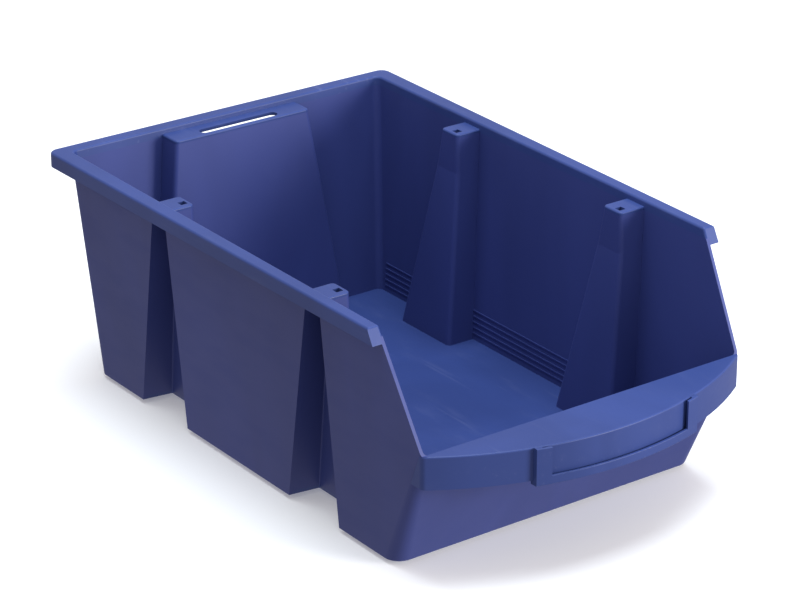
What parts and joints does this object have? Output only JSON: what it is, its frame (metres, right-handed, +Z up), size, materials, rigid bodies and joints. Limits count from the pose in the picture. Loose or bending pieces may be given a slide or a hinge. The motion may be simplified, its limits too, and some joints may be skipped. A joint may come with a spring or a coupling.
{
  "type": "stackable storage bin",
  "caption": "Open-front stackable storage bin with a rolled rim, ribbed side walls with stacking ledges, a rear grip slot and a label holder on the low bowed front.",
  "frame": {"origin": "middle of the bin's outline, on the surface it stands on", "axes": "+Z up, +Y to the rear, the open low front faces -Y, +X to the right seen from the front"},
  "size_m": [0.3098, 0.493, 0.181],
  "materials": {
    "blue_polypropylene": "satin injection-moulded, fine grain"
  },
  "bodies": {
    "root": {"floor_panel": "blue_polypropylene", "front_shelf": "blue_polypropylene", "front_wall": "blue_polypropylene", "grip_ledge": "blue_polypropylene", "label_bar": "blue_polypropylene", "label_panel": "blue_polypropylene", "left_apron": "blue_polypropylene", "left_front_ledge": "blue_polypropylene", "left_front_rib": "blue_polypropylene", "left_label_post": "blue_polypropylene", "left_rear_ledge": "blue_polypropylene", "left_rear_rib": "blue_polypropylene", "left_rim": "blue_polypropylene", "left_wall_front": "blue_polypropylene", "left_wall_middle": "blue_polypropylene", "left_wall_rear": "blue_polypropylene", "left_wall_ridges": "blue_polypropylene", "rear_boss": "blue_polypropylene", "rear_rim": "blue_polypropylene", "rear_wall_left": "blue_polypropylene", "rear_wall_right": "blue_polypropylene", "right_apron": "blue_polypropylene", "right_front_ledge": "blue_polypropylene", "right_front_rib": "blue_polypropylene", "right_label_post": "blue_polypropylene", "right_rear_ledge": "blue_polypropylene", "right_rear_rib": "blue_polypropylene", "right_rim": "blue_polypropylene", "right_wall_front": "blue_polypropylene", "right_wall_middle": "blue_polypropylene", "right_wall_rear": "blue_polypropylene", "right_wall_ridges": "blue_polypropylene", "stacking_pegs": "blue_polypropylene"}
  },
  "joints": []
}
